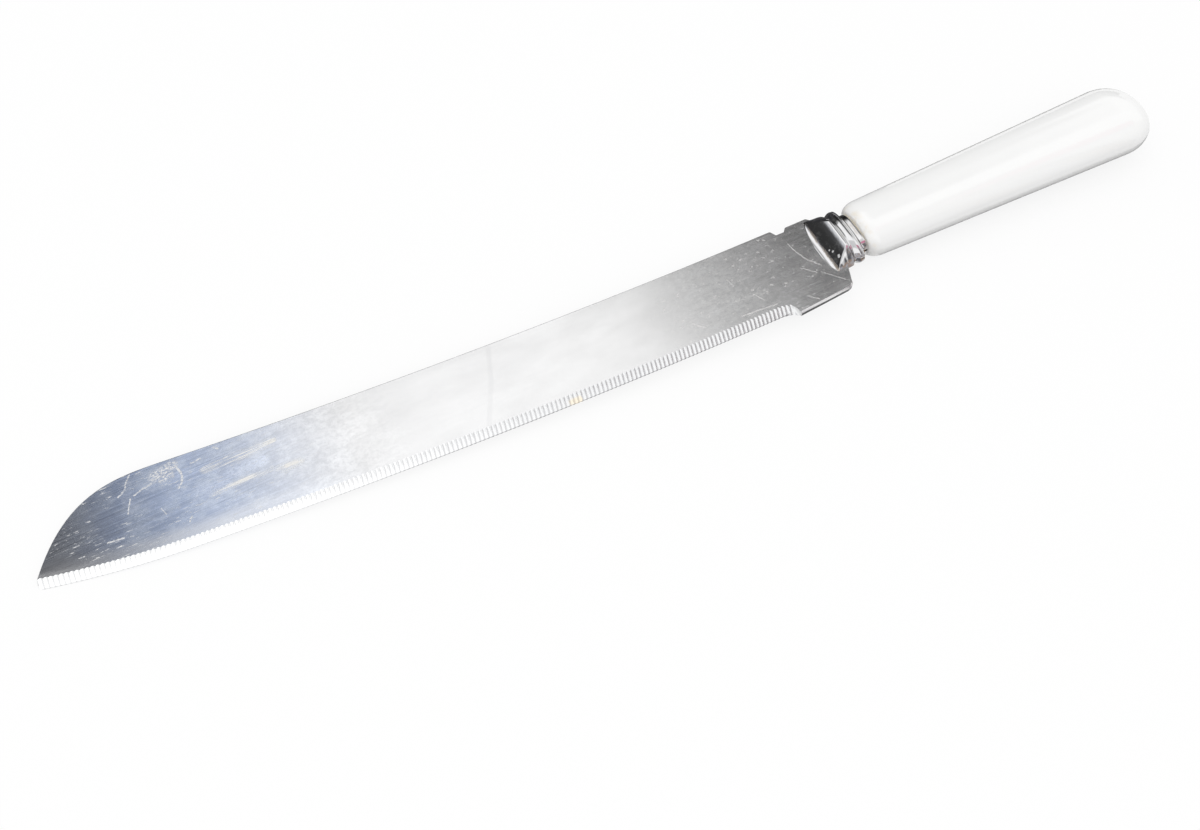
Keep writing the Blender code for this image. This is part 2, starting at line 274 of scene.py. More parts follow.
def loft(rings):
    """Vertices and faces through rings of the same number of points, with flat ends."""
    count = len(rings[0])
    vertices = [point for ring in rings for point in ring]
    faces = []
    for i in range(len(rings) - 1):
        for k in range(count):
            after = (k + 1) % count
            near = i * count
            far = near + count
            faces.append((near + k, near + after, far + after, far + k))
    faces.append(tuple(range(count)))
    faces.append(tuple(range(len(vertices) - count, len(vertices))))
    return vertices, faces


def oval_ring(x, half_width, half, power, flat=0.0, shift=0.0):
    """An oval across the knife at x: power 2 is an ellipse, and a higher one is squarer.

    Flat is half the width of its straight top, and shift is how far its middle lies towards the spine.
    """
    ring = []
    for k in range(OVAL_SEGMENTS):
        angle = 2 * math.pi * (k + 0.5) / OVAL_SEGMENTS
        c = math.cos(angle)
        s = math.sin(angle)
        y = math.copysign(flat + (half_width - flat) * abs(c) ** (2 / power), c)
        z = half * math.copysign(abs(s) ** (2 / power), s)
        ring.append((x, y + shift, z))
    return ring


def station_rings(stations):
    """Rings through stations (x, half width, half thickness, power, flat, shift), in millimetres."""
    rings = []
    for x, half_width, half, power, flat, shift in smooth_stations(stations, STATION_SEGMENTS):
        ring = oval_ring(x / 1000, half_width / 1000, half / 1000, power, flat / 1000, shift / 1000)
        rings.append(ring)
    return rings


# Blade

def sweep(x):
    return SWEEP_RADIUS - math.sqrt(SWEEP_RADIUS**2 - min(x, 0.0) ** 2)


def tip_share(x):
    return min(max((TIP_START - x) / TIP_CURVE_LENGTH, 0.0), 1.0)


def edge_y(x):
    return TIP_EDGE_RISE * tip_share(x) ** 2 - EDGE_DROP


def spine_y(x):
    drop = SPINE_RISE + EDGE_DROP - TIP_EDGE_RISE
    return SPINE_RISE - drop * tip_share(x) ** TIP_CURVE_POWER


def blank_lines():
    """The blank's upper and lower outlines from tip to bolster, before the sweep, each in order of x."""
    blank_drop = RICASSO_DROP + RICASSO_TAPER
    notch_front = -NOTCH_POSITION - NOTCH_WIDTH / 2
    notch_back = -NOTCH_POSITION + NOTCH_WIDTH / 2
    notch_floor = SPINE_RISE - NOTCH_DEPTH
    curve = []
    for k in range(TIP_SEGMENTS):
        x = TIP_START - TIP_CURVE_LENGTH * k / TIP_SEGMENTS
        curve.append((x, spine_y(x)))
    nose = rounded(
        [
            (*curve[-1], 0.0),
            (-BLADE_LENGTH, edge_y(-BLADE_LENGTH), TIP_CORNER_RADIUS),
            (-BLADE_LENGTH + TIP_CURVE_LENGTH / 2, -blank_drop, 0.0),
        ],
        CORNER_SEGMENTS,
    )
    first = min(range(len(nose)), key=lambda k: nose[k][0])
    notch = rounded(
        [
            (TIP_START, SPINE_RISE, 0.0),
            (notch_front, SPINE_RISE, NOTCH_FRONT_RADIUS),
            (notch_front + NOTCH_DEPTH / 2, notch_floor, NOTCH_FLOOR_FRONT_RADIUS),
            (notch_back - NOTCH_DEPTH / 4, notch_floor, NOTCH_FLOOR_BACK_RADIUS),
            (notch_back + NOTCH_DEPTH / 4, RICASSO_RISE, NOTCH_BACK_RADIUS),
            (SLOT_DEPTH / 2, RICASSO_RISE, SLOT_CORNER_RADIUS),
            (SLOT_DEPTH, RICASSO_RISE - SLOT_DEPTH / 2, 0.0),
        ],
        CORNER_SEGMENTS,
    )
    heel = rounded(
        [
            (-RICASSO_LENGTH, -blank_drop, 0.0),
            (HEEL_OVERHANG, -RICASSO_DROP + RICASSO_TAPER, HEEL_RADIUS),
            (SLOT_DEPTH, -BOLSTER_HALF_WIDTH, 0.0),
        ],
        CORNER_SEGMENTS,
    )
    upper = nose[first::-1] + curve[-2:0:-1] + notch
    lower = nose[first:] + heel
    return upper, lower


def flute_depth(number):
    """Each flute is ground a little deeper or shallower than the next, and they fade towards the tip."""
    uneven = math.sin(UNEVEN_FAST * number) + math.sin(UNEVEN_SLOW * number + UNEVEN_START)
    fade = 1 - FLUTE_FADE * number * FLUTE_PITCH / BLADE_LENGTH
    return FLUTE_DEPTH * fade * (1 + FLUTE_UNEVENNESS * uneven / 2)


def ground_hollow(along):
    """How far below the plain bevel the grooves lie here, less than zero on the lands between them."""
    first = math.floor(RUNOUT_WALL / FLUTE_PITCH)
    number = math.floor(along / FLUTE_PITCH)
    if number < first:
        return 0.0
    across = 2 * (along / FLUTE_PITCH - number) - 1
    depth = flute_depth(number)
    hollow = depth * (1 - across**2) - FLUTE_LAND * depth / FLUTE_DEPTH
    return max(hollow, 0.0) if number == first and across < 0.0 else hollow


def flute_hollow(along, share):
    """The hollow this far down the bevel: flutes lean, and are shallower at the edge than the head."""
    return ground_hollow(along + FLUTE_SKEW * (1 - share)) * (1 - (1 - FLUTE_FOOT) * share)


def ground_edge(x, top, blank_low):
    """Points down the ground bevel at x, from its head on the upper face to the edge and the underside."""
    slope = 2 * HALF_BLADE / FLUTE_BAND
    along = -RICASSO_LENGTH - x
    into_runout = max(RUNOUT_LENGTH - along, 0.0)
    into_wall = max(RUNOUT_WALL - along, 0.0) / RUNOUT_WALL
    lift = RUNOUT_RADIUS - math.sqrt(RUNOUT_RADIUS**2 - into_runout**2)
    foot = -lift / slope
    head = FLUTE_BAND + foot
    head += (foot - head) * (1 - math.sqrt(1 - into_wall**2)) * RUNOUT_WALL_SHARE
    rise = 2 * HALF_BLADE / (head - foot)
    base = edge_y(x) + foot
    foot_y = max(base + max(flute_hollow(along, 1.0), 0.0) / slope, blank_low)
    head_y = min(edge_y(x) + head + flute_hollow(along, 0.0) / slope, top - EDGE_ROUNDING)
    points = []
    for k in range(BEVEL_SEGMENTS + 1):
        share = k / BEVEL_SEGMENTS
        y = head_y + (foot_y - head_y) * share
        z = (y - base) * rise - flute_hollow(along, share) - HALF_BLADE
        points.append((y, min(z, HALF_BLADE)))
    points.append((foot_y, -HALF_BLADE))
    return points


def plain_edge(low):
    """Points down the ricasso's square lower edge, with its upper corner broken."""
    return [
        (low + RICASSO_BEVEL, HALF_BLADE),
        (low + 0.1 * RICASSO_BEVEL, HALF_BLADE - 0.5 * RICASSO_BEVEL),
        (low, HALF_BLADE - 0.6 * RICASSO_BEVEL),
        (low, 0.3 * HALF_BLADE),
        (low, -0.3 * HALF_BLADE),
        (low, -HALF_BLADE),
    ]


def blade_section(x, upper, lower):
    """The blade's closed outline across the knife at x: spine, upper face, edge and underside."""
    top = read_line(upper, x)
    low = read_line(lower, x)
    edge = plain_edge(low) if x > -RICASSO_LENGTH else ground_edge(x, top, low)
    soft = min(EDGE_ROUNDING, (top - low) / 4)
    middle = ROUNDING_MIDDLE * soft
    section = [
        (top - soft, -HALF_BLADE),
        (top - middle, -HALF_BLADE + middle),
        (top, -HALF_BLADE + soft),
        (top, min(HALF_BLADE - soft, edge[0][1] - soft)),
        (top - middle, min(HALF_BLADE - middle, edge[0][1])),
        (top - soft, min(HALF_BLADE, edge[0][1])),
        ((top - soft + edge[0][0]) / 2, min(HALF_BLADE, edge[0][1])),
        *edge,
        ((top - soft + edge[-1][0]) / 2, -HALF_BLADE),
    ]
    lift = sweep(x)
    return [(x, y + lift, z) for y, z in section]


def blade_stations(upper, lower):
    """Where the blade is cut across: through every flute, and along the tip's, notch's and heel's arcs."""
    first = upper[0][0]
    stations = {SLOT_DEPTH, first + NOSE_STEP, -RICASSO_LENGTH + RICASSO_STEP}
    step = FLUTE_PITCH / FLUTE_SEGMENTS
    count = int((-RICASSO_LENGTH - first) / step)
    stations.update(-RICASSO_LENGTH - k * step for k in range(count + 1))
    nose_end = first + TIP_CORNER_RADIUS
    for x, _ in upper + lower:
        if first < x < nose_end or -RICASSO_LENGTH < x < SLOT_DEPTH:
            stations.add(x)
    ordered = []
    for x in sorted(stations):
        if not ordered or x - ordered[-1] > LEAST_STEP:
            ordered.append(x)
    return ordered


def make_blade():
    """The swept blade, whose ground faces take their own material."""
    upper, lower = blank_lines()
    sections = [blade_section(x, upper, lower) for x in blade_stations(upper, lower)]
    vertices, faces = loft(sections)
    count = len(sections[0])
    bevel_rows = range(BEVEL_FIRST_ROW, BEVEL_FIRST_ROW + BEVEL_SEGMENTS + 1)
    indices = []
    for number, face in enumerate(faces):
        row = number % count
        flutes = row in bevel_rows and vertices[face[0]][0] < -RICASSO_LENGTH
        broken_corner = row == bevel_rows[0] and vertices[face[0]][0] > -RICASSO_LENGTH
        indices.append(1 if len(face) == 4 and (flutes or broken_corner) else 0)
    shape = (vertices, faces)
    materials = [brushed_steel(), ground_steel()]
    blade = add_piece("fluted_blade", shape, materials, BLADE_SHARP_DEGREES, indices)
    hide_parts("blade")


# Bolster, collar, handle and bedding

def make_bolster():
    """A lip feathered onto the blade, a ramp to a rounded ridge, a cove, a broad ring and a narrow bead."""
    stations = [
        (-1.16, 2.40, 0.702, 2.0, 1.9, -1.80),
        (-0.86, 4.60, 0.711, 2.0, 4.1, -1.70),
        (-0.49, 6.50, 0.738, 2.0, 6.0, -1.40),
        (-0.12, 7.90, 0.805, 2.0, 7.3, -1.05),
        (0.24, 8.95, 0.921, 1.9, 8.2, -0.65),
        (0.60, 9.45, 1.088, 1.85, 8.5, -0.25),
        (0.96, 9.50, 1.305, 1.75, 8.4, -0.12),
        (1.30, 9.47, 1.540, 1.65, 8.0, -0.05),
        (2.00, 9.42, 2.030, 1.5, 7.2, 0.0),
        (3.00, 9.36, 2.710, 1.45, 6.2, 0.0),
        (3.70, 9.30, 3.155, 1.4, 5.6, 0.0),
        (4.20, 9.27, 3.450, 1.4, 5.2, 0.0),
        (4.70, 9.24, 3.700, 1.4, 4.8, 0.0),
        (4.95, 9.22, 3.813, 1.4, 4.6, 0.0),
        (5.20, 9.20, 3.910, 1.4, 4.4, 0.0),
        (5.42, 9.17, 3.970, 1.4, 4.2, 0.0),
        (5.62, 9.10, 3.985, 1.45, 3.9, 0.0),
        (5.82, 8.95, 3.940, 1.55, 3.2, 0.0),
        (6.05, 8.70, 3.830, 1.7, 2.2, 0.0),
        (6.30, 8.40, 3.720, 1.85, 1.2, 0.0),
        (6.50, 8.26, 3.650, 1.95, 0.6, 0.0),
        (6.75, 8.22, 3.620, 2.05, 0.3, 0.0),
        (7.00, 8.30, 3.630, 2.15, 0.1, 0.0),
        (7.30, 8.48, 3.690, 2.25, 0.0, 0.0),
        (7.70, 8.68, 3.770, 2.35, 0.0, 0.0),
        (8.15, 8.82, 3.815, 2.4, 0.0, 0.0),
        (8.45, 8.86, 3.800, 2.4, 0.0, 0.0),
        (8.72, 8.84, 3.720, 2.4, 0.0, 0.0),
        (8.88, 8.78, 3.630, 2.4, 0.0, 0.0),
        (9.02, 8.76, 3.590, 2.4, 0.0, 0.0),
        (9.13, 8.78, 3.610, 2.4, 0.0, 0.0),
        (9.25, 8.78, 3.650, 2.4, 0.0, 0.0),
        (9.34, 8.60, 3.580, 2.4, 0.0, 0.0),
        (9.38, 8.30, 3.450, 2.4, 0.0, 0.0),
    ]
    shape = loft(station_rings(stations))
    bolster = add_piece("stepped_bolster", shape, [chrome_plate("bolster_plate")])
    keep_flats_flat(bolster)
    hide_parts("bolster")


def make_collar():
    """The flange that shows between bolster and handle, with its spigot in the handle's mouth."""
    stations = [
        (9.42, 6.30, 3.10, 3.4, 0.0, -0.45),
        (9.52, 6.50, 3.28, 3.4, 0.0, -0.45),
        (9.80, 6.60, 3.325, 3.4, 0.0, -0.48),
        (10.40, 6.62, 3.415, 3.4, 0.0, -0.50),
        (10.90, 6.55, 3.485, 3.4, 0.0, -0.52),
        (11.10, 6.45, 3.470, 3.4, 0.0, -0.54),
        (11.28, 6.25, 3.36, 3.3, 0.0, -0.50),
        (11.40, 5.95, 3.12, 3.0, 0.0, -0.45),
        (11.41, 4.60, 2.80, 2.6, 0.0, 0.0),
        (17.40, 4.60, 2.80, 2.6, 0.0, 0.0),
    ]
    shape = loft(station_rings(stations))
    collar = add_piece("plated_collar", shape, [chrome_plate("collar_plate")])
    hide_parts("collar")


def grip_half_sizes(x):
    """Half width and half thickness of the grip at x, before the shoulder and the dome close it."""
    dome_start = HANDLE_END - BUTT_DOME
    along = min((x - HANDLE_FRONT) / (dome_start - HANDLE_FRONT), 1.0)
    width = HANDLE_FRONT_WIDTH + (HANDLE_BUTT_WIDTH - HANDLE_FRONT_WIDTH) * along
    thickness = HANDLE_FRONT_THICKNESS + (HANDLE_BUTT_THICKNESS - HANDLE_FRONT_THICKNESS) * along
    return width / 2, thickness / 2


def make_handle():
    """An oval grip that widens to a domed butt, with the collar's spigot in its mouth."""
    dome_start = HANDLE_END - BUTT_DOME
    shares = []
    for k in range(SHOULDER_SEGMENTS + 1):
        turn = k / SHOULDER_SEGMENTS * math.pi / 2
        share = HANDLE_MOUTH_SHARE + (1 - HANDLE_MOUTH_SHARE) * math.sin(turn)
        shares.append((HANDLE_FRONT + HANDLE_SHOULDER * (1 - math.cos(turn)), share))
    body_start = HANDLE_FRONT + HANDLE_SHOULDER
    for k in range(1, GRIP_SEGMENTS + 1):
        shares.append((body_start + (dome_start - body_start) * k / GRIP_SEGMENTS, 1.0))
    for k in range(1, DOME_SEGMENTS + 1):
        turn = k / DOME_SEGMENTS * DOME_TURN
        x = dome_start + BUTT_DOME * math.sin(turn) ** DOME_LENGTH_POWER
        shares.append((x, math.cos(turn) ** DOME_WIDTH_POWER))
    bore_width = SPIGOT_HALF_WIDTH + BORE_CLEARANCE
    bore_half = SPIGOT_HALF + BORE_CLEARANCE
    rings = [
        oval_ring(HANDLE_FRONT + SPIGOT_LENGTH, bore_width, bore_half, HANDLE_FULLNESS),
        oval_ring(HANDLE_FRONT, bore_width, bore_half, HANDLE_FULLNESS),
    ]
    for x, share in shares:
        half_width, half = grip_half_sizes(x)
        rings.append(oval_ring(x, half_width * share, half * share, HANDLE_FULLNESS))
    handle = add_piece("white_handle", loft(rings), [white_moulding()])
    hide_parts("handle")


def make_bedding():
    """The plug of bedding round the tang, and the thin line squeezed out at the handle's mouth."""
    plug_materials = frame["nodes"]["cement"].data.materials
    plug_materials.clear()
    plug_materials.append(old_bedding("tang_bedding"))
    stations = [
        (11.34, 5.20, 2.85, 2.5, 0.0, 0.0),
        (11.36, 6.12, 3.08, 2.5, 0.0, 0.0),
        (11.52, 6.22, 3.16, 2.5, 0.0, 0.0),
        (11.70, 6.28, 3.20, 2.5, 0.0, 0.0),
        (11.76, 6.10, 3.05, 2.5, 0.0, 0.0),
        (11.78, 5.20, 2.85, 2.5, 0.0, 0.0),
    ]
    shape = loft(station_rings(stations))
    add_piece("bedding_line", shape, [old_bedding("bedding_line")])


# Materials

def grey(value):
    return (value, value, value)


def new_material(name):
    material = bpy.data.materials.new(name)
    material.use_nodes = True
    return material, material.node_tree, material.node_tree.nodes["Principled BSDF"]


def add_node(tree, kind, inputs=(), **settings):
    """A node with these settings, each named or numbered input set to a value or linked to a socket."""
    made = tree.nodes.new(kind)
    for key, value in settings.items():
        setattr(made, key, value)
    for key, value in dict(inputs).items():
        if isinstance(value, bpy.types.NodeSocket):
            tree.links.new(value, made.inputs[key])
        else:
            made.inputs[key].default_value = value
    return made


def math_node(tree, operation, a, b):
    return add_node(tree, "ShaderNodeMath", {0: a, 1: b}, operation=operation).outputs[0]


def multiply(tree, a, b):
    return math_node(tree, "MULTIPLY", a, b)


def add(tree, a, b):
    return math_node(tree, "ADD", a, b)


def subtract(tree, a, b):
    return math_node(tree, "SUBTRACT", a, b)


def larger(tree, a, b):
    return math_node(tree, "MAXIMUM", a, b)


def vector_node(tree, operation, a, b):
    """Arithmetic on vectors. SCALE takes a number as b, and a dot product or a distance is a number."""
    second = 3 if operation == "SCALE" else 1
    made = add_node(tree, "ShaderNodeVectorMath", {0: a, second: b}, operation=operation)
    return made.outputs["Value" if operation in ("DOT_PRODUCT", "DISTANCE") else "Vector"]


def millimetres(tree):
    """The point being shaded, in its object's own axes, in millimetres."""
    place = add_node(tree, "ShaderNodeTexCoord").outputs["Object"]
    return vector_node(tree, "SCALE", place, 1000.0)


def noise(tree, place, stretch, detail=2.0, roughness=0.5):
    """Noise with this many wobbles per millimetre along each axis."""
    spread = vector_node(tree, "MULTIPLY", place, stretch)
    inputs = {"Vector": spread, "Scale": 1.0, "Detail": detail, "Roughness": roughness}
    return add_node(tree, "ShaderNodeTexNoise", inputs).outputs["Fac"]


def remap(tree, value, low, high, out_low=0.0, out_high=1.0):
    """The value taken smoothly from between low and high to between out_low and out_high."""
    inputs = {"Value": value, "From Min": low, "From Max": high, "To Min": out_low, "To Max": out_high}
    made = add_node(tree, "ShaderNodeMapRange", inputs, interpolation_type="SMOOTHSTEP")
    return made.outputs["Result"]


def blend(tree, share, a, b):
    """Colour a where share is 0 and b where it is 1."""
    made = add_node(tree, "ShaderNodeMix", data_type="RGBA")
    for key, value in (("Factor_Float", share), ("A_Color", a), ("B_Color", b)):
        socket = next(s for s in made.inputs if s.identifier == key)
        if isinstance(value, bpy.types.NodeSocket):
            tree.links.new(value, socket)
        else:
            socket.default_value = value if key == "Factor_Float" else (*value, 1.0)
    return next(s for s in made.outputs if s.identifier == "Result_Color")


def bump(tree, height, distance, strength):
    inputs = {"Height": height, "Distance": distance, "Strength": strength}
    return add_node(tree, "ShaderNodeBump", inputs).outputs["Normal"]


def link(tree, shader, **sockets):
    """Links sockets to the shader's inputs, where base_color stands for Base Color."""
    for name, socket in sockets.items():
        tree.links.new(socket, shader.inputs[name.replace("_", " ").title()])


def stroke_group():
    """A node group that draws one soft-edged stroke between two points."""
    group = bpy.data.node_groups.new("stroke", "ShaderNodeTree")
    for name in ("Place", "Start", "End"):
        group.interface.new_socket(name, in_out="INPUT", socket_type="NodeSocketVector")
    group.interface.new_socket("Half Width", in_out="INPUT", socket_type="NodeSocketFloat")
    group.interface.new_socket("Mask", in_out="OUTPUT", socket_type="NodeSocketFloat")
    given = add_node(group, "NodeGroupInput").outputs
    span = vector_node(group, "SUBTRACT", given["End"], given["Start"])
    offset = vector_node(group, "SUBTRACT", given["Place"], given["Start"])
    covered = vector_node(group, "DOT_PRODUCT", offset, span)
    along = math_node(group, "DIVIDE", covered, vector_node(group, "DOT_PRODUCT", span, span))
    share = add_node(group, "ShaderNodeClamp", {0: along}).outputs[0]
    reach = vector_node(group, "SCALE", span, share)
    distance = vector_node(group, "DISTANCE", offset, reach)
    core = multiply(group, given["Half Width"], STROKE_CORE)
    mask = remap(group, distance, given["Half Width"], core)
    add_node(group, "NodeGroupOutput", {"Mask": mask})
    return group


def strokes(tree, place, marks):
    """1 on any of the marks (x, y, x, y, half width), in millimetres as seen from above, else 0."""
    group = bpy.data.node_groups.get("stroke") or stroke_group()
    flat = vector_node(tree, "MULTIPLY", place, (1.0, 1.0, 0.0))
    total = None
    for x, y, end_x, end_y, half_width in marks:
        ends = {"Start": (x, y, 0.0), "End": (end_x, end_y, 0.0)}
        inputs = {"Place": flat, "Half Width": half_width, **ends}
        mask = add_node(tree, "ShaderNodeGroup", inputs, node_tree=group).outputs["Mask"]
        total = mask if total is None else larger(tree, total, mask)
    return total


def wobble(tree, place, scale, amount):
    """The place, shaken by up to this many millimetres, so that what is drawn there has ragged edges."""
    made = add_node(tree, "ShaderNodeTexNoise", {"Vector": place, "Scale": scale, "Detail": 2.0})
    shake = vector_node(tree, "SUBTRACT", made.outputs["Color"], (0.5, 0.5, 0.5))
    sized = vector_node(tree, "SCALE", shake, 2 * amount)
    return vector_node(tree, "ADD", place, sized)


def split(tree, place):
    """The place's X, Y and Z."""
    return add_node(tree, "ShaderNodeSeparateXYZ", {0: place}).outputs


def above_edge(tree, axes):
    """Millimetres above the cutting edge, along the curve of the sweep and up the tip's rise."""
    square = multiply(tree, axes["X"], axes["X"])
    lift = multiply(tree, square, 1 / (2000 * SWEEP_RADIUS))
    ends = {"Value": axes["X"], "From Min": 1000 * TIP_START, "From Max": -1000 * BLADE_LENGTH}
    reach = add_node(tree, "ShaderNodeMapRange", ends).outputs["Result"]
    rise = multiply(tree, multiply(tree, reach, reach), 1000 * TIP_EDGE_RISE)
    base = add(tree, lift, rise)
    return add(tree, subtract(tree, axes["Y"], base), 1000 * EDGE_DROP)


# Where masks along the knife start and are full, in millimetres from the front of the bolster
# The tip's range holds both its real wear and its painted blue reflection
TIP_WEAR_AND_REFLECTION = (-132.0, -183.0)
USED_TIP = (-112.0, -150.0)
USED_HEEL = (-54.0, -26.0)
DARK_NOSE = (-192.0, -213.0)
# Where the nose is painted darker, a painted dark reflection
PALER_EDGE_ALONG = (-142.0, -176.0)
MARKED_HEEL = (-75.0, -40.0)
PALE_FLUTES = (-70.0, -170.0)
# Where the painted shade along the cutting edge starts
BROKEN_CORNER = (-16.5, -15.0)
EDGE_SHADE_ALONG = (-17.0, -19.5)
BOLSTER_JOINT = (8.9, 9.4)
HANDLE_MOUTH = (14.5, 11.8)

# Where masks up the blade start and are full, in millimetres above the cutting edge
PALER_EDGE_HEIGHT = (7.4, 3.6)
STRIP_HEIGHT = (4.4, 3.0)
# Painted shade along the cutting edge
EDGE_SHADE_HEIGHT = (0.28, 0.10)

# Marks (x, y, x, y, half width) in millimetres, each a soft stroke with this share of its width solid
STROKE_CORE = 0.3
TIP_SCUFFS = [
    (-188.6, 18.8, -190.0, 17.0, 0.28),
    (-190.0, 17.0, -190.9, 15.2, 0.34),
    (-190.9, 15.2, -192.8, 14.1, 0.34),
    (-190.2, 12.3, -191.1, 10.6, 0.32),
    (-191.1, 10.6, -191.9, 8.6, 0.26),
    (-189.1, 12.9, -186.3, 13.7, 0.32),
    (-186.3, 13.7, -184.4, 14.1, 0.45),
    (-177.5, 15.6, -176.9, 13.1, 0.48),
    (-176.9, 13.1, -177.5, 11.2, 0.48),
    (-177.5, 11.2, -178.8, 9.8, 0.35),
    (-184.2, 6.4, -183.7, 4.4, 0.22),
    (-179.2, -0.2, -178.3, 1.1, 0.28),
    (-174.1, 15.0, -171.4, 15.2, 0.28),
    (-167.6, 16.8, -166.7, 15.8, 0.32),
    (-198.5, 3.5, -194.7, 2.9, 0.42),
    (-206.1, 6.1, -204.7, 6.0, 0.28),
    (-201.4, 11.1, -200.5, 11.0, 0.32),
    (-205.7, 2.7, -204.5, 2.6, 0.26),
    (-202.0, 0.9, -201.4, 0.9, 0.26),
    (-153.2, 3.5, -150.8, 3.3, 1.0),
]
TIP_CLOUD = [
    (-183.2, 15.6, -178.4, 16.5, 2.2),
    (-181.8, 14.0, -179.6, 14.2, 1.5),
]
# Haze at the tip, tinted with a painted blue sheen
TIP_HAZE_AND_SHEEN = [
    (-191.0, 14.0, -190.6, 9.5, 2.4),
    (-174.5, 6.0, -168.5, 5.2, 2.6),
    (-166.0, 8.0, -158.0, 7.6, 2.2),
]
TIP_SMEARS = [
    (-171.6, 11.8, -166.0, 11.5, 1.5),
    (-166.0, 11.5, -161.0, 11.4, 2.0),
    (-161.0, 11.4, -154.0, 11.8, 1.5),
    (-171.8, 4.5, -167.2, 4.5, 1.0),
    (-167.2, 4.5, -162.4, 4.5, 1.0),
    (-162.4, 4.5, -156.5, 4.4, 1.1),
    (-155.0, 3.4, -149.8, 3.1, 1.6),
]
# A painted reflection: a faint darker line across the middle of the blade
REFLECTED_LINE = [
    (-94.2, 12.2, -97.75, 2.7, 1.0),
    (-97.75, 2.7, -104.4, -10.4, 1.0),
]
HEEL_SCRATCHES = [
    (-27.9, 2.0, -27.5, -0.4, 0.22),
    (-24.1, -5.1, -22.2, -8.3, 0.22),
    (-30.3, -9.9, -20.0, -10.9, 0.3),
    (-43.1, -6.1, -40.6, -8.8, 0.25),
    (-7.0, 4.8, -6.5, 1.5, 0.25),
    (-6.5, 1.5, -5.0, -2.3, 0.3),
    (-5.0, -2.3, -2.7, -5.4, 0.3),
    (-8.1, -3.7, -5.0, -6.9, 0.18),
    (-4.0, -7.3, 1.3, -13.1, 0.15),
    (-11.3, -12.4, -9.0, -14.7, 0.22),
]
HEEL_HAZE = [
    (-37.1, -1.9, -29.0, -4.6, 1.2),
    (-29.0, -4.6, -20.3, -6.3, 1.3),
    (-14.8, -13.2, -13.6, -13.4, 1.1),
]
HEEL_SPECKS = [
    (-21.5, 6.1, -21.1, 6.2, 0.42),
    (-13.8, 9.7, -13.5, 9.6, 0.45),
    (-12.5, 9.1, -12.2, 9.0, 0.40),
    (-13.9, 1.9, -13.6, 1.8, 0.50),
    (-15.9, 6.2, -15.6, 6.1, 0.40),
    (-18.3, -4.8, -17.9, -4.9, 0.45),
    (-14.5, -6.1, -14.1, -6.2, 0.45),
    (-23.7, -3.9, -23.2, -4.0, 0.45),
    (-24.3, 5.3, -24.0, 5.3, 0.35),
    (-33.6, -1.0, -33.2, -1.0, 0.40),
]
EDGE_STAIN = [(-82.0, -12.2, -79.8, -12.4, 1.1)]
LIP_VALLEY = [(0.55, -9.0, 0.55, 9.0, 0.55)]
# A painted shadow line at the front of the collar
COLLAR_JOINT_SHADOW = [(9.52, -9.0, 9.52, 9.0, 0.24)]
PLATE_PITS = [
    (1.45, -2.8, 1.5, -2.7, 0.24),
    (1.85, -3.8, 1.95, -3.6, 0.30),
    (2.3, -6.1, 2.4, -5.7, 0.42),
]


